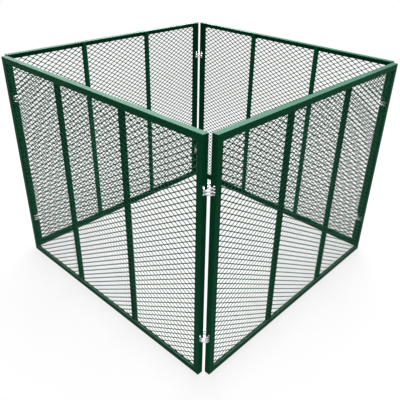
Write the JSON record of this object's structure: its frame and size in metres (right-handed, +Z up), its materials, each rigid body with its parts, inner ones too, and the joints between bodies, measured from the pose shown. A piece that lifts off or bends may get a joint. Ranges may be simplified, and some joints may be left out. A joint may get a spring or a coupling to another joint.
{
  "type": "leaf composter bin",
  "caption": "Square open garden bin of green mesh panels in angle frames, linked at the corners by spiral wire clips so that it can fold flat.",
  "frame": {"origin": "on the ground, under the middle of the square", "axes": "+Z up, front panel towards -Y, right panel towards +X"},
  "size_m": [1, 1, 0.8],
  "materials": {
    "green_paint": "satin",
    "zinc_wire": "satin"
  },
  "bodies": {
    "front_panel": {"front_top_rail": "green_paint", "front_bottom_rail": "green_paint", "front_left_post": "green_paint", "front_right_post": "green_paint", "front_left_bar": "green_paint", "front_right_bar": "green_paint", "front_mesh": "green_paint"},
    "right_panel": {"right_top_rail": "green_paint", "right_bottom_rail": "green_paint", "right_front_post": "green_paint", "right_rear_post": "green_paint", "right_front_bar": "green_paint", "right_rear_bar": "green_paint", "right_mesh": "green_paint"},
    "rear_panel": {"rear_top_rail": "green_paint", "rear_bottom_rail": "green_paint", "rear_right_post": "green_paint", "rear_left_post": "green_paint", "rear_right_bar": "green_paint", "rear_left_bar": "green_paint", "rear_mesh": "green_paint"},
    "left_panel": {"left_top_rail": "green_paint", "left_bottom_rail": "green_paint", "left_rear_post": "green_paint", "left_front_post": "green_paint", "left_rear_bar": "green_paint", "left_front_bar": "green_paint", "left_mesh": "green_paint"},
    "front_right_lower_clip": {"front_right_lower_clip": "zinc_wire"},
    "front_right_upper_clip": {"front_right_upper_clip": "zinc_wire"},
    "right_rear_lower_clip": {"right_rear_lower_clip": "zinc_wire"},
    "right_rear_upper_clip": {"right_rear_upper_clip": "zinc_wire"},
    "rear_left_lower_clip": {"rear_left_lower_clip": "zinc_wire"},
    "rear_left_upper_clip": {"rear_left_upper_clip": "zinc_wire"},
    "left_front_lower_clip": {"left_front_lower_clip": "zinc_wire"},
    "left_front_upper_clip": {"left_front_upper_clip": "zinc_wire"}
  },
  "joints": [
    {"name": "fold", "type": "hinge", "parent": "rear_panel", "child": "left_panel", "pos_m": [-0.4775, 0.4775, 0.4], "axis": [0, 0, 1], "range_deg": [-86, 86]},
    {"name": "right_corner_fold", "type": "hinge", "parent": "rear_panel", "child": "right_panel", "pos_m": [0.4775, 0.4775, 0.4], "axis": [0, 0, 1], "range_deg": [-86, 86]},
    {"name": "front_corner_fold", "type": "hinge", "parent": "left_panel", "child": "front_panel", "pos_m": [-0.4775, -0.4775, 0.4], "axis": [0, 0, 1], "range_deg": [-86, 86]},
    {"name": "front_right_lower_clip_turn", "type": "hinge", "parent": "right_panel", "child": "front_right_lower_clip", "pos_m": [0.4775, -0.4775, 0.15], "axis": [0, 0, 1], "continuous": true},
    {"name": "front_right_upper_clip_turn", "type": "hinge", "parent": "right_panel", "child": "front_right_upper_clip", "pos_m": [0.4775, -0.4775, 0.65], "axis": [0, 0, 1], "continuous": true},
    {"name": "right_rear_lower_clip_turn", "type": "hinge", "parent": "rear_panel", "child": "right_rear_lower_clip", "pos_m": [0.4775, 0.4775, 0.15], "axis": [0, 0, 1], "continuous": true},
    {"name": "right_rear_upper_clip_turn", "type": "hinge", "parent": "rear_panel", "child": "right_rear_upper_clip", "pos_m": [0.4775, 0.4775, 0.65], "axis": [0, 0, 1], "continuous": true},
    {"name": "rear_left_lower_clip_turn", "type": "hinge", "parent": "rear_panel", "child": "rear_left_lower_clip", "pos_m": [-0.4775, 0.4775, 0.15], "axis": [0, 0, 1], "continuous": true},
    {"name": "rear_left_upper_clip_turn", "type": "hinge", "parent": "rear_panel", "child": "rear_left_upper_clip", "pos_m": [-0.4775, 0.4775, 0.65], "axis": [0, 0, 1], "continuous": true},
    {"name": "left_front_lower_clip_turn", "type": "hinge", "parent": "left_panel", "child": "left_front_lower_clip", "pos_m": [-0.4775, -0.4775, 0.15], "axis": [0, 0, 1], "continuous": true},
    {"name": "left_front_upper_clip_turn", "type": "hinge", "parent": "left_panel", "child": "left_front_upper_clip", "pos_m": [-0.4775, -0.4775, 0.65], "axis": [0, 0, 1], "continuous": true}
  ],
  "couplings": [
    {"joint": "right_corner_fold", "follows": "fold", "ratio": 1},
    {"joint": "front_corner_fold", "follows": "fold", "ratio": -1}
  ]
}
